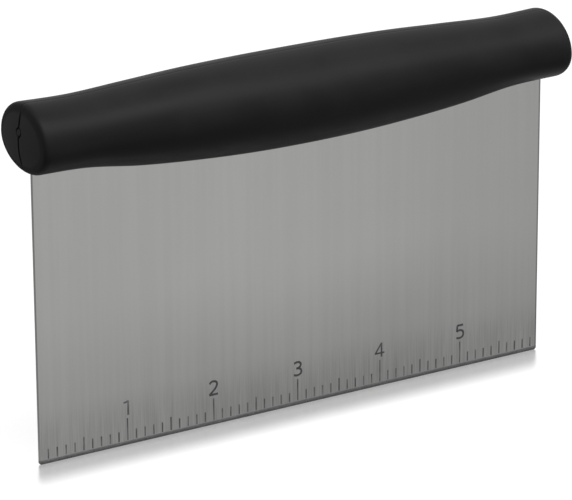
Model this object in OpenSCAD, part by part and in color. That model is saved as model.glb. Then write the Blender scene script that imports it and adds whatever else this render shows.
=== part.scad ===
// Dough scraper: a stainless steel blade with a ground edge and an inch scale, held in a soft handle.
// The origin is below the middle of the blade, on its cutting edge. X runs along the edge, Y through
// the sheet, with the scale on the face that looks along -Y, and Z up to the handle.

/* [Blade] */
// Width of the blade, along its cutting edge
blade_w = 152; // [120:1:200]
// Thickness of the steel sheet
blade_t = 0.8; // [0.7:0.05:1.5]
// Thickness left at the cutting edge
edge_t = 0.3; // [0.1:0.05:0.5]
// Height of the ground bevel above the cutting edge
bevel_h = 1; // [0.5:0.1:1.2]
// Radius of the two corners at the cutting edge
corner_r = 0.8; // [0.3:0.1:3]
// Radius that the blade's upright edges are rounded to
side_r = 0.25; // [0.1:0.05:0.3]

/* [Tang] */
// How far the tang steps in from each side of the blade
tang_step = 5; // [3:0.5:12]
// Height of the tang's top above the handle's axis
tang_rise = 3; // [1:0.25:4]
// How far the blade's full width reaches into the handle
shoulder_depth = 1.6; // [0.5:0.1:2.5]
// Number of locking holes in the tang
lock_count = 7; // [3:1:9]
// Diameter of a locking hole
lock_d = 5; // [3:0.25:6]
// Steel left between a locking hole and the tang's top
lock_margin = 2.2; // [1.5:0.1:3]
// Distance from the tang's ends to the centre of the outer locking holes
lock_end = 11; // [6:0.5:20]

/* [Scale] */
// Length of one inch, which the scale is divided from
inch = 25.4; // [20:0.1:30]
// Number of divisions in an inch
divisions = 10; // [4:2:10]
// Width of an engraved line
tick_w = 0.4; // [0.2:0.05:0.6]
// Depth of an engraved line
tick_depth = 0.06; // [0.03:0.01:0.12]
// Height of the lines' lower ends above the cutting edge
tick_foot = 1.35; // [1.25:0.05:3]
// Length of a short line
tick_l = 2.65; // [1.5:0.05:4]
// Length of a half-inch line
half_tick_l = 3.6; // [2:0.05:6]
// Length of an inch line
inch_tick_l = 6; // [3:0.1:9]

/* [Handle] */
// Height of the handle's axis above the cutting edge
axis_z = 85.5; // [70:0.5:110]
// How far the handle stands past each side of the blade
overhang = 3.2; // [3:0.1:8]
// Thickness of the handle at its belly
belly_t = 29.2; // [27:0.2:34]
// Height of the handle above its axis at the belly
belly_rise = 11.3; // [11:0.1:15]
// Depth of the handle below its axis at the belly
belly_drop = 13.3; // [12.6:0.1:17]
// Radius between the handle's barrel and its end faces
end_r = 1.7; // [0.5:0.1:2]
// How far each end face is domed
end_dome = 1; // [0.4:0.1:1]
// Thickness of the soft grip over the core
grip_wall = 3; // [2:0.1:3.5]

/* [Fits] */
// Gap kept all round between pieces that are moulded onto each other
bond_gap = 0.05; // [0.02:0.01:0.1]

/* [Hidden] */
$fn = 48;

// Overrun of every cut past the face that it leaves through
overrun = 1;

// The handle's form at equal steps from its middle to its end, as shares of its size at the belly
thickness_shares = [1, 0.974, 0.926, 0.868, 0.815, 0.846];
rise_shares = [1, 0.997, 0.968, 0.9, 0.837, 0.872];
drop_shares = [1, 0.984, 0.921, 0.816, 0.65, 0.606];

// Sides of a ring, and steps along half of the handle, for the grip and for the core
grip_sides = 44;
grip_steps = 16;
core_sides = 28;
core_steps = 12;
round_steps = 5;
dome_steps = 4;

half_l = blade_w / 2 + overhang;
barrel_end = half_l - end_dome - end_r;
core_end = blade_w / 2;
tang_w = blade_w - 2 * tang_step;
tang_top = axis_z + tang_rise;
shoulder_z = axis_z - drop_at(core_end) + shoulder_depth;
lock_z = tang_top - lock_margin - lock_d / 2;
lock_pitch = (tang_w - 2 * lock_end) / (lock_count - 1);
tick_pitch = inch / divisions;
tick_count = floor((blade_w - tick_w) / tick_pitch);

// Smooth curve through a table of shares, at a part u of the way from its first value to its last.
// Before the first value the table is mirrored, and past the last it runs straight on.
function smooth(shares, u) =
    let (last = len(shares) - 1,
         i = min(floor(u * last), last - 1),
         t = u * last - i,
         a = shares[i],
         b = shares[i + 1],
         before = i == 0 ? shares[1] : shares[i - 1],
         after = i + 2 > last ? 2 * b - a : shares[i + 2],
         slope_a = (b - before) / 2,
         slope_b = (after - a) / 2)
    a + t * slope_a + pow(t, 2) * (3 * (b - a) - 2 * slope_a - slope_b)
      + pow(t, 3) * (2 * (a - b) + slope_a + slope_b);

// Half thickness, rise above the axis and drop below it, at a distance x from the handle's middle
function half_t_at(x) = belly_t / 2 * smooth(thickness_shares, abs(x) / half_l);
function rise_at(x) = belly_rise * smooth(rise_shares, abs(x) / half_l);
function drop_at(x) = belly_drop * smooth(drop_shares, abs(x) / half_l);

// One ring of the handle at x: two half ellipses that meet at the axis, taken in by an inset and
// then shrunk by a share. Its corners lie half a step off the blade's plane, so that the sheet leaves
// through flat facets.
function ring(x, sides, inset = 0, share = 1, form_x = undef) =
    let (at = is_undef(form_x) ? x : form_x,
         half_t = (half_t_at(at) - inset) * share,
         rise = (rise_at(at) - inset) * share,
         drop = (drop_at(at) - inset) * share)
    [for (i = [0 : sides - 1])
        let (angle = (i + 0.5) * 360 / sides - 90)
        [x, half_t * cos(angle), axis_z + (sin(angle) > 0 ? rise : drop) * sin(angle)]];

// Rings of the rounded edge and of the domed face at one end of the handle, from the barrel outwards
function end_rings(sides) = concat(
    [for (i = [1 : round_steps])
        let (angle = 90 * i / round_steps)
        ring(barrel_end + end_r * sin(angle), sides, end_r * (1 - cos(angle)), 1, barrel_end)],
    [for (i = [1 : dome_steps - 1])
        let (share = 1 - i / dome_steps)
        ring(barrel_end + end_r + end_dome * (1 - pow(share, 2)), sides, end_r, share, barrel_end)]);

function mirrored(rings) = [for (i = [len(rings) - 1 : -1 : 0])
    [for (point = rings[i]) [-point.x, point.y, point.z]]];

function flat(rings) = [for (r = rings) each r];

// Skin through rings of equal length that run along +X, with a fan or a flat face at each end
module loft(rings, tips) {
    sides = len(rings[0]);
    last = len(rings) - 1;
    corners = len(rings) * sides;
    walls = [for (i = [0 : last - 1], j = [0 : sides - 1])
        let (a = i * sides + j, b = i * sides + (j + 1) % sides)
        each [[a, a + sides, b + sides], [a, b + sides, b]]];
    fans = [for (j = [0 : sides - 1])
        let (k = (j + 1) % sides)
        each [[corners, j, k], [corners + 1, last * sides + k, last * sides + j]]];
    caps = [[for (j = [0 : sides - 1]) j], [for (j = [sides - 1 : -1 : 0]) last * sides + j]];
    polyhedron(
        points = concat(flat(rings), len(tips) > 0 ? tips : []),
        faces = concat(walls, len(tips) > 0 ? fans : caps),
        convexity = 4);
}

// Outer form of the handle, from one domed end to the other
module handle_form() {
    ends = end_rings(grip_sides);
    barrel = [for (i = [-grip_steps : grip_steps])
        ring(barrel_end * i / grip_steps, grip_sides)];
    loft(concat(mirrored(ends), barrel, ends), [[-half_l, 0, axis_z], [half_l, 0, axis_z]]);
}

// Bar that follows the handle's form one grip wall inside it, made larger all round by a gap
module core_form(gap = 0) {
    end = core_end + gap;
    loft([for (i = [-core_steps : core_steps])
        ring(end * i / core_steps, core_sides, grip_wall - gap)], []);
}

// The sheet's outline, seen from the front: blade, shoulders and tang, made larger by a gap
module sheet_outline(gap = 0) {
    for (side = [-1, 1])
        translate([side * (blade_w / 2 - corner_r), corner_r])
            circle(r = corner_r + gap);
    translate([corner_r - blade_w / 2, -gap])
        square([blade_w - 2 * corner_r, shoulder_z + 2 * gap]);
    translate([-blade_w / 2 - gap, corner_r])
        square([blade_w + 2 * gap, shoulder_z - corner_r + gap]);
    translate([-tang_w / 2 - gap, shoulder_z])
        square([tang_w + 2 * gap, tang_top - shoulder_z + gap]);
}

// Places one child at each locking hole, upright on the outline
module at_locks() {
    for (i = [0 : lock_count - 1])
        translate([lock_end - tang_w / 2 + i * lock_pitch, lock_z])
            children();
}

// A flat outline stood upright in the plane of the sheet and given a thickness through it
module upright(thickness) {
    translate([0, thickness / 2, 0])
        rotate([90, 0, 0])
            linear_extrude(height = thickness)
                children();
}

// The sheet's section across its width, with its upright edges rounded
module sheet_plan() {
    square([blade_w - 2 * side_r, blade_t], center = true);
    square([blade_w, blade_t - 2 * side_r], center = true);
    for (side = [-1, 1], face = [-1, 1])
        translate([side * (blade_w / 2 - side_r), face * (blade_t / 2 - side_r)])
            circle(r = side_r);
}

// The sheet's section through its thickness, with the bevels ground down to the cutting edge
module sheet_profile() {
    polygon([
        [-edge_t / 2, 0], [edge_t / 2, 0], [blade_t / 2, bevel_h],
        [blade_t / 2, tang_top], [-blade_t / 2, tang_top], [-blade_t / 2, bevel_h]]);
}

function tick_length(i) =
    i % divisions == 0 ? inch_tick_l : i % (divisions / 2) == 0 ? half_tick_l : tick_l;

// The engraved lines of the scale, which starts at the blade's left side
module scale_lines() {
    for (i = [1 : tick_count])
        translate([i * tick_pitch - blade_w / 2 - tick_w / 2, -blade_t / 2 - overrun, tick_foot])
            cube([tick_w, overrun + tick_depth, tick_length(i)]);
}

module blade() {
    color("silver")
    difference() {
        intersection() {
            upright(blade_t)
                difference() {
                    sheet_outline();
                    at_locks() circle(d = lock_d);
                }
            linear_extrude(height = tang_top)
                sheet_plan();
            translate([-blade_w / 2, 0, 0])
                rotate([90, 0, 90])
                    linear_extrude(height = blade_w)
                        sheet_profile();
        }
        scale_lines();
    }
}

// Space that the sheet takes up in the mouldings, with its locking holes left full of plastic
module sheet_space(plugs) {
    upright(blade_t + 2 * bond_gap)
        difference() {
            sheet_outline(bond_gap);
            if (plugs)
                at_locks() circle(d = lock_d - 2 * bond_gap);
        }
}

module handle_core() {
    color("dimgray")
    difference() {
        core_form();
        sheet_space(true);
    }
}

module grip() {
    color("#222224")
    difference() {
        handle_form();
        core_form(bond_gap);
        sheet_space(false);
    }
}

blade();
handle_core();
grip();
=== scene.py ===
"""Dough scraper: a brushed steel blade with an inch scale, under a full-width soft handle."""

import logging
import math
from collections.abc import Callable
from dataclasses import dataclass, field
from enum import Enum
from typing import Any

import bmesh
import bpy
from mathutils import Euler, Matrix, Vector


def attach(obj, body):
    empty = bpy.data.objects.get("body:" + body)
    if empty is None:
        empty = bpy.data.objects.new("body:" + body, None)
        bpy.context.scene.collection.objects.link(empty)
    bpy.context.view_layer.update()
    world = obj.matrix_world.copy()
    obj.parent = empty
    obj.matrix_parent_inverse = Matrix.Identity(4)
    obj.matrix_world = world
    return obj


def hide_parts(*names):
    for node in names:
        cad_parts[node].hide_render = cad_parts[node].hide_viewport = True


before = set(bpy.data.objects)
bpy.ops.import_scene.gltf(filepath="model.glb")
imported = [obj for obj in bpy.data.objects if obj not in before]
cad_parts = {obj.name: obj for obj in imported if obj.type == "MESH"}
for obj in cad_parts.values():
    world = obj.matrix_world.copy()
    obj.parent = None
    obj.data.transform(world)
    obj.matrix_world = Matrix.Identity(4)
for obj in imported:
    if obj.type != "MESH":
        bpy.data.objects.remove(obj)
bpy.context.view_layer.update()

LOG = logging.getLogger("dough_scraper")
BODY = "root"
MM = 0.001
TOUCH = 2e-6
WELD = 1e-6
QUARTER_TURN = math.pi / 2
# The Mix node has several sockets of each name, so those for colours are called by number.
MIX_FIRST, MIX_SECOND, MIX_RESULT = 6, 7, 2

Color = tuple[float, float, float, float]
Triple = tuple[float, float, float]
Socket = bpy.types.NodeSocket


def grey(value: float, blue: float = 1.0) -> Color:
    """Return an opaque grey, with its blue channel times a factor."""
    return (value, value, value * blue, 1.0)


class Half(Enum):
    """The part of a handle section that lies above or below the handle's axis."""

    UPPER = 1
    LOWER = -1


class Side(Enum):
    """The left or right end of the tool, seen from the face with the scale."""

    LEFT = -1
    RIGHT = 1


@dataclass(frozen=True)
class Ramp:
    """Smooth change of a tone from low at its start to high at its end."""

    start: float
    end: float
    low: float
    high: float


class Graph:
    """Node tree of a material or of the world, with short calls that add and wire nodes."""

    def __init__(self, tree: bpy.types.NodeTree) -> None:
        """Take over a tree and clear it."""
        self.tree = tree
        tree.nodes.clear()

    def add(self, kind: str, inputs: dict[str | int, Any] | None = None,
            **settings: Any) -> bpy.types.Node:
        """Add a node.

        Args:
            kind: Blender's name of the node type.
            inputs: A socket to link from, or a constant, for each input by name or number.
            settings: Properties of the node itself.

        Returns:
            The new node.
        """
        node = self.tree.nodes.new(kind)
        for name, value in settings.items():
            setattr(node, name, value)
        for name, value in (inputs or {}).items():
            if isinstance(value, Socket):
                self.tree.links.new(value, node.inputs[name])
            else:
                node.inputs[name].default_value = value
        return node

    def math(self, operation: str, first: Any, second: Any = 0.0) -> Socket:
        """Return the result of a Math node on two sockets or numbers."""
        return self.add("ShaderNodeMath", {0: first, 1: second}, operation=operation).outputs[0]

    def product(self, first: Any, *others: Any) -> Any:
        """Multiply sockets or numbers from left to right.

        Args:
            first: The first factor.
            others: The factors after it.

        Returns:
            The socket of the product.
        """
        result = first
        for other in others:
            result = self.math("MULTIPLY", result, other)
        return result

    def inverse(self, value: Any) -> Socket:
        """Return 1 less a value."""
        return self.math("SUBTRACT", 1.0, value)

    def step(self, value: Any, start: float, end: float, low: float = 0.0,
             high: float = 1.0) -> Socket:
        """Map a socket smoothly from one range to another.

        Args:
            value: The socket that is read.
            start: Value at which the result is low.
            end: Value at which the result is high.
            low: Result at and before the start.
            high: Result at and past the end.

        Returns:
            The socket of the mapped value.
        """
        inputs = {"Value": value, "From Min": start, "From Max": end, "To Min": low, "To Max": high}
        return self.add("ShaderNodeMapRange", inputs, interpolation_type="SMOOTHSTEP").outputs[0]

    def ramp(self, value: Any, ramp: Ramp) -> Socket:
        """Return the tone that a ramp has at a value."""
        return self.step(value, ramp.start, ramp.end, ramp.low, ramp.high)

    def vary(self, noise: Any, low: float, high: float, margin: float = 0.3) -> Socket:
        """Map noise smoothly to a range, with a margin cut off at both ends of its values."""
        return self.step(noise, margin, 1.0 - margin, low, high)

    def around(self, noise: Any, middle: float, swing: float, margin: float = 0.3) -> Socket:
        """Map noise to values that swing round a middle one."""
        return self.vary(noise, middle - swing, middle + swing, margin)

    def object_axes(self) -> tuple[Socket, Socket, Socket, Socket]:
        """Read the object coordinates.

        Returns:
            The sockets of the vector and of its x, y and z.
        """
        place = self.add("ShaderNodeTexCoord").outputs["Object"]
        parts = self.add("ShaderNodeSeparateXYZ", {0: place}).outputs
        return place, parts[0], parts[1], parts[2]

    def noise(self, place: Any, stretch: Triple, detail: float = 3.0) -> Socket:
        """Make noise on stretched coordinates.

        Args:
            place: Socket of the coordinates in metres.
            stretch: Features per metre along each axis.
            detail: Number of finer octaves, each half as strong.

        Returns:
            The socket of the noise value, about 0.5 on average.
        """
        mapped = self.add("ShaderNodeMapping", {"Vector": place, "Scale": stretch}).outputs[0]
        inputs = {"Vector": mapped, "Scale": 1.0, "Detail": detail, "Roughness": 0.5}
        return self.add("ShaderNodeTexNoise", inputs).outputs["Fac"]

    def blend(self, factor: Any, first: Any, second: Any) -> Socket:
        """Return a mix of two colours by a factor."""
        inputs = {"Factor": factor, MIX_FIRST: first, MIX_SECOND: second}
        return self.add("ShaderNodeMix", inputs, data_type="RGBA").outputs[MIX_RESULT]

    def tint(self, color: Any, value: Any) -> Socket:
        """Multiply a colour by a number.

        Args:
            color: The colour or its socket.
            value: The socket of the number.

        Returns:
            The socket of the new colour.
        """
        shade = self.add("ShaderNodeCombineColor", {0: value, 1: value, 2: value}).outputs[0]
        inputs = {"Factor": 1.0, MIX_FIRST: color, MIX_SECOND: shade}
        node = self.add("ShaderNodeMix", inputs, data_type="RGBA", blend_type="MULTIPLY")
        return node.outputs[MIX_RESULT]

    def bump(self, height: Any, strength: float, depth: float) -> Socket:
        """Return the normal that a height gives to a surface."""
        inputs = {"Strength": strength, "Distance": depth, "Height": height}
        return self.add("ShaderNodeBump", inputs).outputs[0]

    def principled(self, inputs: dict[str | int, Any]) -> None:
        """Finish a material with a Principled shader that has these inputs."""
        shader = self.add("ShaderNodeBsdfPrincipled", inputs)
        self.add("ShaderNodeOutputMaterial", {"Surface": shader.outputs[0]})


def new_material(name: str) -> tuple[bpy.types.Material, Graph]:
    """Make an empty node material.

    Args:
        name: The material's name.

    Returns:
        The material and its graph.
    """
    material = bpy.data.materials.new(name)
    material.use_nodes = True
    return material, Graph(material.node_tree)


@dataclass(frozen=True)
class BrushedSteel:
    """Satin sheet with an upright grain, a ground edge and dark engraved lines, with painted shade
    on its sides, bevel and foot and towards its right end.
    """

    sheet: float = 0.324
    warmth: float = 0.985
    # ground and ground_edge are partly the bevel's ground finish and partly painted shade, darkest
    # at its foot.
    ground: float = 0.064
    ground_edge: float = 0.035
    ground_edge_share: float = 0.3
    # side is painted shade: the rounded upright edges get a darker colour.
    side: float = 0.15
    line: float = 0.08
    roughness: float = 0.36
    roughness_swing: float = 0.05
    cut_roughness: float = 0.2
    anisotropy: float = 0.55
    across_grain: Triple = (1.0, 0.0, 0.0)
    broad_grain: Triple = (560.0, 560.0, 9.0)
    broad_swing: float = 0.018
    fine_grain: Triple = (2600.0, 2600.0, 70.0)
    fine_swing: float = 0.02
    fine_margin: float = 0.25
    clouds: Triple = (16.0, 16.0, 16.0)
    cloud_swing: float = 0.02
    ground_grain: Triple = (300.0, 2000.0, 9000.0)
    ground_range: tuple[float, float] = (0.8, 1.25)
    line_bite: Triple = (400.0, 400.0, 250.0)
    line_range: tuple[float, float] = (0.7, 1.35)
    grain_depth: float = 0.012 * MM
    grain_strength: float = 0.35
    upper_streaks: float = 0.8
    scratches: Ramp = Ramp(17.0 * MM, 5.1 * MM, 0.8, 3.4)
    # Painted shade: these heights and ramps darken the sheet near the foot, at the cutting edge and
    # towards the right end.
    foot_shade_height: float = 44.0 * MM
    foot_shade_left: Ramp = Ramp(-70.0 * MM, 0.0, 0.23, 0.3)
    foot_shade_right: Ramp = Ramp(20.0 * MM, 76.0 * MM, 1.0, 0.72)
    edge_shade_height: float = 17.0 * MM
    edge_shade: Ramp = Ramp(10.0 * MM, 76.0 * MM, 0.36, 0.28)
    right_shade: Ramp = Ramp(-25.0 * MM, 80.0 * MM, 1.0, 0.86)
    # Painted shade: a darker strip along the right edge of the face.
    margin: float = 0.35 * MM
    margin_tone: float = 0.55
    margin_blur: float = 0.1 * MM
    side_blur: float = 0.06 * MM
    ground_above: float = 0.32 * MM
    ground_below: float = 0.1 * MM
    line_skin: float = 0.003 * MM
    line_foot: float = 0.2 * MM
    line_clear: float = 0.1 * MM

    def shade(self, g: Graph, place: Socket, z: Socket, low: Socket, fine: Socket) -> Socket:
        """Lay out the brightness of the grain, which is about 1 on average.

        Args:
            g: The graph that the nodes are added to.
            place: The object coordinates.
            z: Their height.
            low: 1 at the foot and 0 above the zone of painted shade near it.
            fine: The fine grain.

        Returns:
            The socket of the brightness.
        """
        broad = g.noise(place, self.broad_grain, 2.0)
        cloud = g.noise(place, self.clouds, 2.0)
        fine_streaks = g.around(fine, 0.0, self.fine_swing, self.fine_margin)
        streaks = g.math("ADD", g.around(broad, 0.0, self.broad_swing),
                         g.product(fine_streaks, g.ramp(z, self.scratches)))
        streaks = g.product(streaks, g.math("ADD", low, self.upper_streaks))
        return g.math("ADD", streaks, g.around(cloud, 1.0, self.cloud_swing))

    def painted_shade(self, g: Graph, x: Socket, low: Socket, at_foot: Socket) -> Socket:
        """Lay out the painted shade that darkens the sheet near the edge and towards the right.

        Args:
            g: The graph that the nodes are added to.
            x: Place along the blade.
            low: 1 at the foot and 0 above the zone of painted shade near it.
            at_foot: 1 at the foot and 0 above the painted shade at the cutting edge.

        Returns:
            The socket of the tone, which is 1 where nothing is worn.
        """
        along = g.product(g.ramp(x, self.foot_shade_left), g.ramp(x, self.foot_shade_right))
        foot_shade = g.inverse(g.product(low, along))
        edge_shade = g.inverse(g.product(at_foot, g.ramp(x, self.edge_shade)))
        return g.product(foot_shade, edge_shade, g.ramp(x, self.right_shade))

    def in_line(self, g: Graph, blade: "Blade", across: Socket, y: Socket, z: Socket) -> Socket:
        """Find the engraved lines, which are the only places below the sheet's front face.

        Args:
            g: The graph that the nodes are added to.
            blade: The blade whose sizes the zones have.
            across: Distance from the blade's middle.
            y: Place through the sheet.
            z: Height.

        Returns:
            The socket of a value that is 1 in the lines and 0 elsewhere.
        """
        return g.product(
            g.math("GREATER_THAN", y, self.line_skin - blade.half_thickness),
            g.math("LESS_THAN", y, blade.half_thickness - self.line_clear),
            g.math("GREATER_THAN", z, blade.bevel_height + self.line_foot),
            g.math("LESS_THAN", across, blade.flat_half - self.line_clear))

    def material(self, blade: "Blade") -> bpy.types.Material:
        """Make the steel's material.

        Args:
            blade: The blade whose sizes the zones have.

        Returns:
            The material.
        """
        material, g = new_material("brushed_steel")
        place, x, y, z = g.object_axes()
        across = g.math("ABSOLUTE", x)
        fine = g.noise(place, self.fine_grain)
        cuts = g.noise(place, self.ground_grain, 2.0)
        bevel, side = blade.bevel_height, blade.flat_half

        # low and at_foot mark the zones of painted shade near the foot; low also makes the streaks
        # stronger there.
        low = g.step(z, bevel + self.foot_shade_height, bevel)
        at_foot = g.step(z, self.edge_shade_height, -bevel)
        on_bevel = g.step(z, bevel + self.ground_above, bevel - self.ground_below)
        # Painted shade: the rounded upright edges and a strip along the right edge of the face are
        # darker.
        on_side = g.step(across, side - self.side_blur, side + self.side_blur)
        margin = g.step(x, side - self.margin - self.margin_blur,
                        side - self.margin + self.margin_blur, 1.0, self.margin_tone)
        in_line = self.in_line(g, blade, across, y, z)

        shade = self.shade(g, place, z, low, fine)
        # Painted shade: the sheet is darker near the foot, at the cutting edge and towards the
        # right end.
        toned = self.painted_shade(g, x, low, at_foot)
        sheet = g.tint(grey(self.sheet, self.warmth), g.product(shade, toned))
        bite = g.noise(place, self.line_bite, 1.0)
        line = g.tint(grey(self.line), g.vary(bite, *self.line_range))
        color = g.blend(in_line, g.tint(sheet, margin), line)
        color = g.blend(on_side, color, g.tint(grey(self.side), shade))
        # The bevel's dark colour is partly its ground finish and partly painted shade, darker
        # towards the foot.
        up_bevel = g.step(z, self.ground_edge_share * bevel, bevel)
        ground = g.blend(up_bevel, grey(self.ground_edge), grey(self.ground))
        color = g.blend(on_bevel, color, g.tint(ground, g.vary(cuts, *self.ground_range)))

        cut = g.product(g.math("MAXIMUM", on_bevel, in_line), self.cut_roughness)
        rough = g.math("ADD", g.around(fine, self.roughness, self.roughness_swing), cut)
        height = g.blend(on_bevel, fine, cuts)
        tangent = g.add("ShaderNodeVectorTransform", {0: self.across_grain}, vector_type="VECTOR",
                        convert_from="OBJECT", convert_to="WORLD")
        g.principled({
            "Base Color": color, "Metallic": 1.0, "Roughness": rough,
            "Anisotropic": self.anisotropy, "Tangent": tangent.outputs[0],
            "Normal": g.bump(height, self.grain_strength, self.grain_depth)})
        return material


@dataclass(frozen=True)
class SoftRubber:
    """Matte black soft-touch rubber with a fine moulded grain and faint handling marks."""

    base: float = 0.0082
    base_blue: float = 1.06
    toned: float = 0.0104
    worn_blue: float = 1.04
    worn_range: tuple[float, float] = (0.35, 0.7)
    # rim is painted shade on the rounded rims of the ends.
    rim: float = 0.007
    rim_start: float = 0.6
    rim_full: float = 0.2
    # face is painted light: the end faces are lighter than the barrel.
    face: float = 0.017
    face_full: float = 0.25
    face_swing: float = 0.08
    # groove is painted shade: the joint's groove and the gate's ring are near black.
    groove: float = 0.001
    groove_core: float = 0.4
    roughness: float = 0.48
    cloud_roughness: float = 0.04
    grain_roughness: float = 0.03
    end_roughness: float = 0.7
    groove_roughness: float = 0.95
    specular: float = 0.041
    clouds: Triple = (60.0, 60.0, 60.0)
    flow: Triple = (28.0, 220.0, 220.0)
    flow_swing: float = 0.06
    grain: Triple = (5200.0, 5200.0, 5200.0)
    grain_depth: float = 0.02 * MM
    grain_strength: float = 0.3

    def in_groove(self, g: Graph, handle: "Handle") -> Socket:
        """Find the joint's groove and the ring round the gate, as the end faces have them.

        Args:
            g: The graph that the nodes are added to.
            handle: The handle whose sizes the groove and the ring have.

        Returns:
            The socket of a value that is 1 in the middle of both.
        """
        _, x, y, z = g.object_axes()
        flat = g.add("ShaderNodeCombineXYZ", {1: y, 2: z}).outputs[0]
        gate = {0: flat, 1: (0.0, 0.0, handle.gate_height)}
        from_gate = g.add("ShaderNodeVectorMath", gate, operation="DISTANCE").outputs["Value"]
        on_left = g.math("LESS_THAN", x, 0.0)
        in_gate = g.product(on_left, g.math("LESS_THAN", from_gate, handle.gate_radius))
        groove = g.step(g.math("ABSOLUTE", y), handle.flash_half,
                        self.groove_core * handle.flash_half)
        from_ring = g.math("ABSOLUTE", g.math("SUBTRACT", from_gate, handle.gate_radius))
        ring = g.step(from_ring, handle.gate_groove, self.groove_core * handle.gate_groove)
        return g.math("MAXIMUM", g.product(groove, g.inverse(in_gate)), g.product(ring, on_left))

    def material(self, handle: "Handle") -> bpy.types.Material:
        """Make the rubber's material.

        Args:
            handle: The handle whose sizes the rims, end faces and grooves have.

        Returns:
            The material.
        """
        material, g = new_material("soft_rubber")
        place, x, _, _ = g.object_axes()
        across = g.math("ABSOLUTE", x)
        grain = g.noise(place, self.grain, 2.0)
        flow = g.noise(place, self.flow)
        cloud = g.noise(place, self.clouds)
        radius, dome = handle.form.end_radius, handle.form.end_dome
        foot = handle.form.half_length - dome
        # The rims get painted shade: a darker colour where they round over to the end faces.
        on_end = g.step(across, foot - self.rim_start * radius, foot - self.rim_full * radius)
        on_face = g.step(across, foot, foot + self.face_full * dome)
        in_groove = g.product(on_face, self.in_groove(g, handle))

        barrel = g.blend(g.step(cloud, *self.worn_range), grey(self.base, self.base_blue),
                         grey(self.toned, self.worn_blue))
        barrel = g.tint(barrel, g.around(flow, 1.0, self.flow_swing))
        face = g.tint(grey(self.face), g.around(cloud, 1.0, self.face_swing))
        # The end faces' lighter colour is painted light, and the rims' darker one is painted shade.
        color = g.blend(on_face, g.blend(on_end, barrel, grey(self.rim)), face)
        # Painted shade in the recesses: the groove and the gate's ring are near black.
        color = g.blend(in_groove, color, grey(self.groove))

        rough = g.math("ADD", g.around(cloud, self.roughness, self.cloud_roughness),
                       g.around(grain, 0.0, self.grain_roughness))
        rough = g.math("ADD", rough, g.product(on_end, self.end_roughness - self.roughness))
        duller = self.groove_roughness - self.end_roughness
        rough = g.math("ADD", rough, g.product(in_groove, duller))
        g.principled({
            "Base Color": color, "Roughness": rough, "Specular IOR Level": self.specular,
            "Normal": g.bump(grain, self.grain_strength, self.grain_depth)})
        return material


@dataclass(frozen=True)
class MouldedPlastic:
    """Dark hard plastic of the core, as it comes out of the mould."""

    base: float = 0.1
    base_blue: float = 1.08
    base_swing: float = 0.08
    roughness: float = 0.5
    roughness_swing: float = 0.05
    grain: Triple = (1500.0, 1500.0, 1500.0)
    grain_depth: float = 0.02 * MM
    grain_strength: float = 0.2

    def material(self) -> bpy.types.Material:
        """Make the core's material.

        Returns:
            The material.
        """
        material, g = new_material("core_plastic")
        grain = g.noise(g.object_axes()[0], self.grain)
        tone = g.around(grain, 1.0, self.base_swing)
        g.principled({
            "Base Color": g.tint(grey(self.base, self.base_blue), tone),
            "Roughness": g.around(grain, self.roughness, self.roughness_swing),
            "Normal": g.bump(grain, self.grain_strength, self.grain_depth)})
        return material


@dataclass(frozen=True)
class EtchedMark:
    """Dark oxide of the etched numerals, uneven as acid leaves it and fainter on the first one."""

    base: float = 0.026
    pale: float = 0.046
    pale_margin: float = 0.35
    faint: float = 0.072
    faint_end: float = -46.0 * MM
    full_start: float = -30.0 * MM
    roughness: float = 0.6
    roughness_swing: float = 0.08
    specular: float = 0.2
    mottle: Triple = (2600.0, 2600.0, 2600.0)

    def material(self) -> bpy.types.Material:
        """Make the mark's material.

        Returns:
            The material.
        """
        material, g = new_material("etched_mark")
        place, x, _, _ = g.object_axes()
        mottle = g.noise(place, self.mottle)
        full = g.blend(g.vary(mottle, 0.0, 1.0, self.pale_margin), grey(self.base),
                       grey(self.pale))
        g.principled({
            "Base Color": g.blend(g.step(x, self.faint_end, self.full_start), grey(self.faint),
                                  full),
            "Roughness": g.around(mottle, self.roughness, self.roughness_swing),
            "Specular IOR Level": self.specular})
        return material


def dress(piece: bpy.types.Object, material: bpy.types.Material) -> None:
    """Put one material on every slot of a piece, or on a new slot.

    Args:
        piece: The piece, which may be a CAD node.
        material: Its finish.
    """
    if not piece.material_slots:
        piece.data.materials.append(material)
    for slot in piece.material_slots:
        slot.material = material


def deselect() -> None:
    """Leave edit mode and deselect every object."""
    if bpy.context.object and bpy.context.object.mode != "OBJECT":
        bpy.ops.object.mode_set(mode="OBJECT")
    bpy.ops.object.select_all(action="DESELECT")


def take(*pieces: bpy.types.Object) -> None:
    """Select these objects and no others, and make the first one active.

    Args:
        pieces: The objects that the next operators act on.
    """
    deselect()
    for piece in pieces:
        piece.select_set(True)
    bpy.context.view_layer.objects.active = pieces[0]


def settle() -> bpy.types.Object:
    """Put the place, turn and size of the selected object into its mesh.

    Returns:
        The object.
    """
    bpy.ops.object.transform_apply(location=True, rotation=True, scale=True)
    return bpy.context.object


def pick(piece: bpy.types.Object, test: Callable[[Vector], bool]) -> None:
    """Select the vertices of the piece in edit mode whose place passes a test.

    Args:
        piece: The object that is in edit mode.
        test: Says whether a vertex at a place is selected.
    """
    bpy.context.tool_settings.mesh_select_mode = (True, False, False)
    mesh = bmesh.from_edit_mesh(piece.data)
    for element in (*mesh.faces, *mesh.edges, *mesh.verts):
        element.select = False
    for vertex in mesh.verts:
        vertex.select = test(vertex.co)
    mesh.select_flush_mode()
    bmesh.update_edit_mesh(piece.data)


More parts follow.
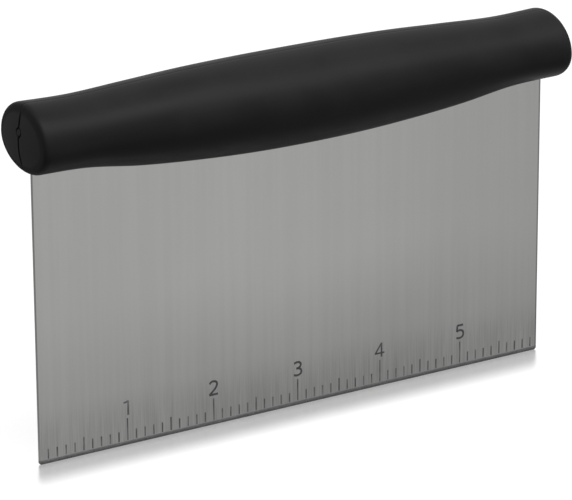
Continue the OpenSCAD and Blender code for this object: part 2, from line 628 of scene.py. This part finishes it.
def weld(piece: bpy.types.Object, distance: float) -> None:
    """Merge the doubled vertices of a piece and turn all its faces outwards.

    Args:
        piece: The piece that is changed.
        distance: How far apart two vertices may be that are merged.
    """
    take(piece)
    bpy.ops.object.mode_set(mode="EDIT")
    bpy.ops.mesh.select_all(action="SELECT")
    bpy.ops.mesh.remove_doubles(threshold=distance)
    bpy.ops.mesh.normals_make_consistent(inside=False)
    bpy.ops.object.mode_set(mode="OBJECT")


def apply_modifier(piece: bpy.types.Object, kind: str, **settings: Any) -> None:
    """Add a modifier to a piece and apply it at once.

    Args:
        piece: The object that is changed.
        kind: Blender's name of the modifier type.
        settings: Properties of the modifier.
    """
    take(piece)
    modifier = piece.modifiers.new(kind.lower(), kind)
    for name, value in settings.items():
        setattr(modifier, name, value)
    bpy.ops.object.modifier_apply(modifier=modifier.name)


def cut_away(piece: bpy.types.Object, cutter: bpy.types.Object) -> None:
    """Cut one object out of another and remove the cutter."""
    apply_modifier(piece, "BOOLEAN", operation="DIFFERENCE", solver="EXACT", object=cutter)
    bpy.data.objects.remove(cutter)


def report(piece: bpy.types.Object) -> None:
    """Log a finished piece with its number of faces."""
    LOG.info("%s: %d faces", piece.name, len(piece.data.polygons))


@dataclass(frozen=True)
class Section:
    """Section of the handle: two half ellipses that meet at the axis, at a distance along it."""

    x: float
    half_thickness: float
    rise: float
    drop: float


@dataclass
class HandleForm:
    """Outer form of the handle, as tables of shares at equal steps of its half length."""

    half_length: float = 79.2 * MM
    axis_height: float = 85.5 * MM
    half_thickness: float = 14.6 * MM
    rise: float = 11.3 * MM
    drop: float = 13.3 * MM
    end_radius: float = 1.7 * MM
    end_dome: float = 1.0 * MM
    thickness_shares: tuple[float, ...] = (1, 0.974, 0.926, 0.868, 0.815, 0.846)
    rise_shares: tuple[float, ...] = (1, 0.997, 0.968, 0.9, 0.837, 0.872)
    drop_shares: tuple[float, ...] = (1, 0.984, 0.921, 0.816, 0.65, 0.606)

    def share_at(self, shares: tuple[float, ...], x: float) -> float:
        """Follow the smooth curve through a table of shares.

        Args:
            shares: The table, from the middle of the handle to its end.
            x: Distance from the middle.

        Returns:
            The share at that distance.
        """
        last = len(shares) - 1
        u = min(abs(x) / self.half_length, 1.0) * last
        i = min(int(u), last - 1)
        t = u - i
        a, b = shares[i], shares[i + 1]
        before = shares[i - 1] if i else shares[1]
        after = shares[i + 2] if i + 2 <= last else 2 * b - a
        slope_a, slope_b = (b - before) / 2, (after - a) / 2
        bow = 3 * (b - a) - 2 * slope_a - slope_b
        return a + t * slope_a + t**2 * bow + t**3 * (2 * (a - b) + slope_a + slope_b)

    def section(self, x: float, inset: float = 0.0, share: float = 1.0,
                form_x: float | None = None) -> Section:
        """Work out a section of the handle.

        Args:
            x: Place of the section along the handle.
            inset: How far it is taken in all round.
            share: What it is then shrunk by.
            form_x: Place whose form it has, where that is another than its own.

        Returns:
            The section.
        """
        at = x if form_x is None else form_x
        return Section(
            x,
            (self.half_thickness * self.share_at(self.thickness_shares, at) - inset) * share,
            (self.rise * self.share_at(self.rise_shares, at) - inset) * share,
            (self.drop * self.share_at(self.drop_shares, at) - inset) * share)


@dataclass
class Loft:
    """Tube drawn in edit mode from one section to the next, over the right half of the handle."""

    name: str
    axis_height: float
    sides: int
    piece: bpy.types.Object = field(init=False)
    last: Section = field(init=False)

    def start(self, section: Section) -> None:
        """Add a circle and shape it to the first section.

        Args:
            section: The first section.
        """
        deselect()
        radius = section.half_thickness
        bpy.ops.mesh.primitive_circle_add(
            vertices=self.sides, radius=radius, fill_type="NOTHING",
            location=(section.x, 0.0, self.axis_height), rotation=(0.0, QUARTER_TURN, 0.0))
        self.piece = settle()
        self.piece.name = self.name
        bpy.ops.object.mode_set(mode="EDIT")
        self.last = Section(section.x, radius, radius, radius)
        self.reshape(section)

    def on_ring(self, x: float, half: Half | None = None) -> Callable[[Vector], bool]:
        """Make a test for the vertices of a ring.

        Args:
            x: Place of the ring along the handle.
            half: The half of it that is asked for, or None for all of it.

        Returns:
            The test, for pick.
        """
        def test(place: Vector) -> bool:
            """Say whether a place is on the ring, and on the half that is asked for."""
            above = place.z - self.axis_height
            return abs(place.x - x) < TOUCH and (half is None or above * half.value > TOUCH)
        return test

    def reshape(self, section: Section) -> None:
        """Scale the last ring from the last section's form to a new one.

        Args:
            section: The new section, at the same place along the handle.
        """
        axis = (section.x, 0.0, self.axis_height)
        pick(self.piece, self.on_ring(section.x))
        across = section.half_thickness / self.last.half_thickness
        bpy.ops.transform.resize(value=(1.0, across, 1.0), center_override=axis)
        for half, factor in ((Half.UPPER, section.rise / self.last.rise),
                             (Half.LOWER, section.drop / self.last.drop)):
            pick(self.piece, self.on_ring(section.x, half))
            bpy.ops.transform.resize(value=(1.0, 1.0, factor), center_override=axis)
        pick(self.piece, self.on_ring(section.x))
        self.last = section

    def extrude_to(self, x: float) -> None:
        """Extrude the last ring to a place along the handle."""
        move = (x - self.last.x, 0.0, 0.0)
        bpy.ops.mesh.extrude_region_move(TRANSFORM_OT_translate={"value": move})

    def draw_to(self, section: Section) -> None:
        """Extrude the last ring to a new section and give it that form."""
        self.extrude_to(section.x)
        self.reshape(section)

    def close_at(self, x: float) -> None:
        """Draw the tube together in one point on the axis.

        Args:
            x: Place of the point along the handle.
        """
        self.extrude_to(x)
        bpy.ops.mesh.merge(type="CENTER")
        pick(self.piece, lambda place: abs(place.x - x) < TOUCH)
        mesh = bmesh.from_edit_mesh(self.piece.data)
        offset = self.axis_height - max(vertex.co.z for vertex in mesh.verts if vertex.select)
        bpy.ops.transform.translate(value=(0.0, 0.0, offset))

    def cap(self) -> None:
        """Fill the last ring with one flat face."""
        bpy.ops.mesh.edge_face_add()

    def mirror(self) -> bpy.types.Object:
        """Mirror the half to the left, close up the middle and turn all faces outwards.

        Returns:
            The finished tube.
        """
        apply_modifier(self.piece, "MIRROR", use_axis=(True, False, False), merge_threshold=WELD)
        weld(self.piece, WELD)
        return self.piece


@dataclass
class Handle:
    """Overmoulded handle: the soft grip round the hard core and the blade's tang."""

    form: HandleForm = field(default_factory=HandleForm)
    sides: int = 96
    barrel_steps: int = 40
    round_steps: int = 8
    dome_steps: int = 9
    skin: float = 0.04 * MM
    wall: float = 3.0 * MM
    gap: float = 0.05 * MM
    cavity_end: float = 76.0 * MM
    slot_half: float = 0.4 * MM
    slot_foot: float = 68.0 * MM
    parting_half: float = 0.17 * MM
    parting_depth: float = 0.06 * MM
    flash_half: float = 0.5 * MM
    flash_foot: float = 0.3
    flash_depth: float = 0.3 * MM
    flash_lift: float = 0.9
    flash_reach: float = 0.97
    flash_fade: float = 0.15
    flash_steps: int = 12
    gate_height: float = 88.1 * MM
    gate_radius: float = 1.1 * MM
    gate_groove: float = 0.3 * MM
    gate_segments: tuple[int, int] = (28, 12)
    smooth_angle: float = math.radians(38)

    @property
    def barrel_end(self) -> float:
        """Return where the barrel ends and the rounding of the rim starts."""
        return self.form.half_length - self.form.end_dome - self.form.end_radius - self.skin

    @property
    def rim(self) -> Section:
        """Return the section at which the rim's rounding meets the domed end face."""
        return self.form.section(self.barrel_end, self.skin + self.form.end_radius)

    def face_share(self, height: float) -> float:
        """Return how far a height lies on the way from the axis to the edge of an end face."""
        extent = self.rim.rise if height > self.form.axis_height else self.rim.drop
        return abs(height - self.form.axis_height) / extent

    def face_x(self, height: float) -> float:
        """Return how far out the domed end faces lie at a height, in the blade's plane."""
        dome = self.form.end_dome * self.face_share(height)**2
        return self.form.half_length - self.skin - dome

    def outer(self) -> bpy.types.Object:
        """Model the handle's outer form, with rounded rims and domed ends.

        Returns:
            The closed form.
        """
        form = self.form
        barrel_end = self.barrel_end
        radius, dome = form.end_radius, form.end_dome
        loft = Loft("grip_soft", form.axis_height, self.sides)
        loft.start(form.section(0.0, self.skin))
        for i in range(1, self.barrel_steps + 1):
            loft.draw_to(form.section(barrel_end * i / self.barrel_steps, self.skin))
        for i in range(1, self.round_steps + 1):
            angle = QUARTER_TURN * i / self.round_steps
            inset = self.skin + radius * (1 - math.cos(angle))
            x = barrel_end + radius * math.sin(angle)
            loft.draw_to(form.section(x, inset, 1.0, barrel_end))
        foot = barrel_end + radius
        for i in range(1, self.dome_steps):
            share = 1 - i / self.dome_steps
            x = foot + dome * (1 - share**2)
            loft.draw_to(form.section(x, self.skin + radius, share, barrel_end))
        loft.close_at(foot + dome)
        return loft.mirror()

    def cavity(self) -> bpy.types.Object:
        """Model the space of the core, made larger by the gap.

        Returns:
            The closed form of the space.
        """
        form = self.form
        inset = self.wall - self.gap
        end = self.cavity_end + self.gap
        steps = self.barrel_steps // 2
        loft = Loft("cavity", form.axis_height, self.sides // 2)
        loft.start(form.section(0.0, inset))
        for i in range(1, steps + 1):
            loft.draw_to(form.section(end * i / steps, inset))
        loft.cap()
        return loft.mirror()

    def slot(self) -> bpy.types.Object:
        """Model the thin space that the blade takes up on its way into the handle.

        Returns:
            The closed form of the space.
        """
        deselect()
        height = self.form.axis_height - self.slot_foot
        size = (2 * (self.cavity_end + self.gap), 2 * (self.slot_half + self.gap), height)
        middle = (0.0, 0.0, self.slot_foot + height / 2)
        bpy.ops.mesh.primitive_cube_add(size=1.0, location=middle)
        bpy.ops.transform.resize(value=size)
        return settle()

    def gate_ring(self) -> bpy.types.Object:
        """Model the ring that is cut round the trimmed gate on the left end face.

        Returns:
            The ring.
        """
        deselect()
        around, through = self.gate_segments
        middle = (Side.LEFT.value * self.face_x(self.gate_height), 0.0, self.gate_height)
        bpy.ops.mesh.primitive_torus_add(
            major_radius=self.gate_radius, minor_radius=self.gate_groove,
            major_segments=around, minor_segments=through,
            location=middle, rotation=(0.0, QUARTER_TURN, 0.0))
        return settle()

    def flash_wedge(self, side: Side, low: float, high: float) -> bpy.types.Object:
        """Model the wedge that cuts the broader groove of the mould's joint into an end face.

        Args:
            side: The end of the handle that it cuts.
            low: Height of its lower end.
            high: Height of its upper end.

        Returns:
            The wedge, which follows the dome and runs out towards the edge of the face.
        """
        deselect()
        middle = side.value * self.form.half_length
        bpy.ops.mesh.primitive_cube_add(size=1.0, location=(middle, 0.0, (low + high) / 2))
        size = (2 * self.flash_depth, 2 * self.flash_half, high - low)
        bpy.ops.transform.resize(value=size)
        piece = settle()
        bpy.ops.object.mode_set(mode="EDIT")
        steps = self.flash_steps
        heights = [low + (high - low) * i / steps for i in range(steps + 1)]
        for height in heights[1:-1]:
            bpy.ops.mesh.select_all(action="SELECT")
            bpy.ops.mesh.bisect(plane_co=(0.0, 0.0, height), plane_no=(0.0, 0.0, 1.0))
        pick(piece, lambda place: abs(place.x) < abs(middle))
        bpy.ops.transform.resize(value=(1.0, self.flash_foot, 1.0),
                                 center_override=(middle, 0.0, 0.0))
        for height in heights:
            past = self.face_share(height) - self.flash_reach
            fade = max(0.0, past / self.flash_fade + 1.0)
            out = self.face_x(height) + self.flash_lift * fade * self.flash_depth
            pick(piece, lambda place: abs(place.z - height) < TOUCH)
            move = side.value * (out - self.form.half_length)
            bpy.ops.transform.translate(value=(move, 0.0, 0.0))
        bpy.ops.object.mode_set(mode="OBJECT")
        return piece

    def flash_wedges(self) -> list[bpy.types.Object]:
        """Model the wedges of both end faces, which stop at the gate on the left one.

        Returns:
            The wedges.
        """
        top = self.form.axis_height + self.flash_reach * self.rim.rise
        foot = self.form.axis_height - self.flash_reach * self.rim.drop
        return [self.flash_wedge(Side.RIGHT, foot, top),
                self.flash_wedge(Side.LEFT, foot, self.gate_height - self.gate_radius),
                self.flash_wedge(Side.LEFT, self.gate_height + self.gate_radius, top)]

    def score_parting_line(self, piece: bpy.types.Object) -> None:
        """Press the fine line of the mould's joint into the grip, all round.

        Args:
            piece: The grip's outer form.
        """
        take(piece)
        bpy.ops.object.mode_set(mode="EDIT")
        for side in Side:
            bpy.ops.mesh.select_all(action="SELECT")
            bpy.ops.mesh.bisect(plane_co=(0.0, side.value * self.parting_half, 0.0),
                                plane_no=(0.0, 1.0, 0.0))
        pick(piece, lambda place: abs(place.y) < TOUCH)
        bpy.ops.transform.shrink_fatten(value=-self.parting_depth)
        bpy.ops.object.mode_set(mode="OBJECT")

    def build(self) -> bpy.types.Object:
        """Model the grip, dress it and let it stand for the CAD grip.

        Returns:
            The finished grip.
        """
        grip = self.outer()
        self.score_parting_line(grip)
        for cutter in (self.cavity(), self.slot(), self.gate_ring(), *self.flash_wedges()):
            cut_away(grip, cutter)
        take(grip)
        bpy.ops.object.shade_smooth_by_angle(angle=self.smooth_angle)
        dress(grip, SoftRubber().material(self))
        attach(grip, BODY)
        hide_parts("grip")
        dress(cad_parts["handle_core"], MouldedPlastic().material())
        return grip


class Bend(Enum):
    """How a stroke runs through its points: in a smooth curve, or straight from one to the next."""

    CURVED = "AUTO"
    STRAIGHT = "VECTOR"


@dataclass(frozen=True)
class Stroke:
    """One pen stroke of a numeral: points in millimetres from its foot, and a share of the pen."""

    bend: Bend
    points: tuple[tuple[float, float], ...]
    width: float = 1.0


NUMERALS: dict[int, tuple[Stroke, ...]] = {
    1: (Stroke(Bend.CURVED, ((-0.92, 3.5), (-0.3, 3.58), (0.22, 3.78)), 0.85),
        Stroke(Bend.STRAIGHT, ((0.25, 3.95), (0.25, 0.0)), 0.9)),
    2: (Stroke(Bend.CURVED, ((-1.0, 3.2), (-0.62, 3.68), (0.02, 3.82), (0.72, 3.52),
                             (0.92, 2.9), (0.66, 2.1), (-0.1, 1.15), (-1.05, 0.24))),
        Stroke(Bend.STRAIGHT, ((-1.1, 0.2), (1.15, 0.2)))),
    3: (Stroke(Bend.CURVED, ((-0.95, 3.6), (-0.1, 3.82), (0.68, 3.5), (0.8, 2.85),
                             (0.35, 2.25), (-0.35, 2.1))),
        Stroke(Bend.CURVED, ((-0.3, 2.1), (0.55, 1.95), (1.0, 1.2), (0.72, 0.48),
                             (-0.1, 0.18), (-1.0, 0.38)))),
    4: (Stroke(Bend.STRAIGHT, ((0.5, 3.95), (0.5, 0.0)), 0.85),
        Stroke(Bend.STRAIGHT, ((0.45, 3.8), (-1.2, 1.12)), 0.75),
        Stroke(Bend.STRAIGHT, ((-1.35, 1.1), (1.3, 1.1)), 0.75)),
    5: (Stroke(Bend.STRAIGHT, ((0.9, 3.8), (-0.72, 3.8))),
        Stroke(Bend.STRAIGHT, ((-0.68, 3.9), (-0.82, 2.1))),
        Stroke(Bend.CURVED, ((-0.85, 2.15), (-0.1, 2.4), (0.72, 2.08), (0.98, 1.25),
                             (0.66, 0.48), (-0.1, 0.18), (-0.95, 0.36)))),
}


@dataclass
class Blade:
    """Steel blade: the CAD sheet with its finish, and the numerals of its scale."""

    half_width: float = 76.0 * MM
    half_thickness: float = 0.4 * MM
    side_radius: float = 0.25 * MM
    bevel_height: float = 1.0 * MM
    inch: float = 25.4 * MM
    numeral_foot: float = 8.2 * MM
    numeral_stroke: float = 0.6 * MM
    numeral_spread: float = 1.14
    numeral_flatness: float = 0.06
    stroke_sides: int = 3
    stroke_steps: int = 10
    stroke_weld: float = 1e-7

    @property
    def flat_half(self) -> float:
        """Return half the width of the flat faces, between the rounded upright edges."""
        return self.half_width - self.side_radius

    def numeral(self, number: int, strokes: tuple[Stroke, ...]) -> bpy.types.Object:
        """Draw one upright numeral on the front face, above its inch line.

        Args:
            number: The inch that it marks.
            strokes: The pen strokes that it is drawn with.

        Returns:
            The numeral's mesh object.
        """
        curve = bpy.data.curves.new(f"numeral_{number}", "CURVE")
        curve.dimensions = "3D"
        curve.bevel_depth = self.numeral_stroke / 2
        curve.bevel_resolution = self.stroke_sides
        curve.resolution_u = self.stroke_steps
        curve.use_fill_caps = True
        for stroke in strokes:
            spline = curve.splines.new("BEZIER")
            spline.bezier_points.add(len(stroke.points) - 1)
            for knot, (x, y) in zip(spline.bezier_points, stroke.points):
                knot.co = (x * self.numeral_spread * MM, y * MM, 0.0)
                knot.handle_left_type = knot.handle_right_type = stroke.bend.value
                knot.radius = stroke.width
        piece = bpy.data.objects.new(curve.name, curve)
        bpy.context.scene.collection.objects.link(piece)
        take(piece)
        bpy.ops.object.convert(target="MESH")
        piece = bpy.context.object
        piece.scale = (1.0, 1.0, self.numeral_flatness)
        piece.rotation_euler = (QUARTER_TURN, 0.0, 0.0)
        piece.location = (number * self.inch - self.half_width, -self.half_thickness,
                          self.numeral_foot)
        return settle()

    def build(self) -> bpy.types.Object:
        """Dress the CAD blade and add its numerals.

        Returns:
            The numerals as one piece.
        """
        dress(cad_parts["blade"], BrushedSteel().material(self))
        pieces = [self.numeral(number, strokes) for number, strokes in NUMERALS.items()]
        take(*pieces)
        bpy.ops.object.join()
        joined = pieces[0]
        joined.name = "scale_numerals"
        weld(joined, self.stroke_weld)
        dress(joined, EtchedMark().material())
        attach(joined, BODY)
        return joined


@dataclass
class Studio:
    """Camera, lamp, world and the plain white floor."""

    focal_length: float = 243.24
    sensor_width: float = 36.0
    camera_place: Triple = (-491.9 * MM, -796.2 * MM, 374.8 * MM)
    yaw: float = math.radians(31.556)
    pitch: float = math.radians(19.53)
    roll: float = math.radians(-0.3)
    floor_size: float = 12.0
    ambient: float = 0.12
    floor_grey: float = 0.14
    floor_glow: float = 0.88
    glow_start: float = 150.0 * MM
    glow_end: float = 700.0 * MM
    gloss: float = 0.7
    gloss_start: float = 4.5 * MM
    gloss_end: float = 16.5 * MM
    gloss_reach: float = 79.0 * MM
    gloss_roughness: float = 0.3
    key_power: float = 22.0
    key_size: tuple[float, float] = (1.5, 0.5)
    key_place: Triple = (-0.02, -0.33, 0.9)
    key_target: Triple = (0.0, 0.0, 0.06)

    def camera(self) -> None:
        """Place the camera at the photograph's angle, with its lens and no shift."""
        data = bpy.data.cameras.new("camera")
        data.lens = self.focal_length
        data.sensor_width = self.sensor_width
        camera = bpy.data.objects.new("camera", data)
        level = Euler((QUARTER_TURN - self.pitch, 0.0, -self.yaw)).to_matrix()
        turn = level @ Matrix.Rotation(self.roll, 3, "Z")
        camera.matrix_world = Matrix.Translation(self.camera_place) @ turn.to_4x4()
        bpy.context.scene.collection.objects.link(camera)
        bpy.context.scene.camera = camera

    def key_lamp(self) -> None:
        """Hang the soft box over the handle and turn it to the tool."""
        data = bpy.data.lights.new("key_lamp", "AREA")
        data.shape = "RECTANGLE"
        data.energy = self.key_power
        data.size, data.size_y = self.key_size
        lamp = bpy.data.objects.new("key_lamp", data)
        lamp.location = self.key_place
        beam = Vector(self.key_target) - Vector(self.key_place)
        lamp.rotation_euler = beam.to_track_quat("-Z", "Y").to_euler()
        bpy.context.scene.collection.objects.link(lamp)

    @staticmethod
    def seen_directly(g: Graph) -> Socket:
        """Find the rays that see the white background.

        Args:
            g: The graph that the nodes are added to.

        Returns:
            The socket of a value that is 1 for camera, glossy and transmission rays.
        """
        path = g.add("ShaderNodeLightPath").outputs
        mirrored = g.math("MAXIMUM", path["Is Glossy Ray"], path["Is Transmission Ray"])
        return g.math("MAXIMUM", path["Is Camera Ray"], mirrored)

    def world(self) -> None:
        """Light the scene faintly from all round, and show white wherever the world is seen."""
        world = bpy.data.worlds.new("world")
        world.use_nodes = True
        g = Graph(world.node_tree)
        strength = g.step(self.seen_directly(g), 0.0, 1.0, self.ambient, 1.0)
        shader = g.add("ShaderNodeBackground", {"Color": grey(1.0), "Strength": strength})
        g.add("ShaderNodeOutputWorld", {"Surface": shader.outputs[0]})
        bpy.context.scene.world = world

    def floor_material(self) -> bpy.types.Material:
        """Make the white of the floor, which mirrors only the foot of the blade.

        Returns:
            The material, which is clear from below and plain white further off.
        """
        material, g = new_material("white_floor")
        place, x, y, _ = g.object_axes()
        away = g.add("ShaderNodeVectorMath", {0: place}, operation="LENGTH").outputs["Value"]
        glow = g.product(self.seen_directly(g),
                         g.step(away, self.glow_start, self.glow_end, self.floor_glow, 1.0))
        lit = g.add("ShaderNodeBsdfDiffuse", {"Color": grey(self.floor_grey)}).outputs[0]
        light = g.add("ShaderNodeEmission", {"Color": grey(1.0), "Strength": glow}).outputs[0]
        base = g.add("ShaderNodeAddShader", {0: lit, 1: light}).outputs[0]
        gloss = {"Color": grey(1.0), "Roughness": self.gloss_roughness}
        mirror = g.add("ShaderNodeBsdfGlossy", gloss).outputs[0]
        past_end = self.gloss_reach + self.gloss_end
        share = g.product(
            g.step(g.math("ABSOLUTE", y), self.gloss_start, self.gloss_end, self.gloss, 0.0),
            g.step(g.math("ABSOLUTE", x), self.gloss_reach, past_end, 1.0, 0.0))
        polished = g.add("ShaderNodeMixShader", {0: share, 1: base, 2: mirror}).outputs[0]
        behind = g.add("ShaderNodeNewGeometry").outputs["Backfacing"]
        clear = g.add("ShaderNodeBsdfTransparent").outputs[0]
        shader = g.add("ShaderNodeMixShader", {0: behind, 1: polished, 2: clear}).outputs[0]
        g.add("ShaderNodeOutputMaterial", {"Surface": shader})
        return material

    def floor(self) -> None:
        """Lay the white floor."""
        deselect()
        bpy.ops.mesh.primitive_plane_add(size=self.floor_size)
        floor = bpy.context.object
        floor.name = "floor"
        dress(floor, self.floor_material())

    def build(self) -> None:
        """Set up the whole studio."""
        bpy.context.scene.view_settings.view_transform = "Standard"
        self.camera()
        self.world()
        self.key_lamp()
        self.floor()


def main() -> None:
    """Build the studio and the tool's parts in order and report each piece."""
    logging.basicConfig(level=logging.INFO, format="%(name)s: %(message)s")
    Studio().build()
    report(Handle().build())
    report(Blade().build())
    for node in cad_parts.values():
        report(node)


if __name__ == "__main__":
    main()
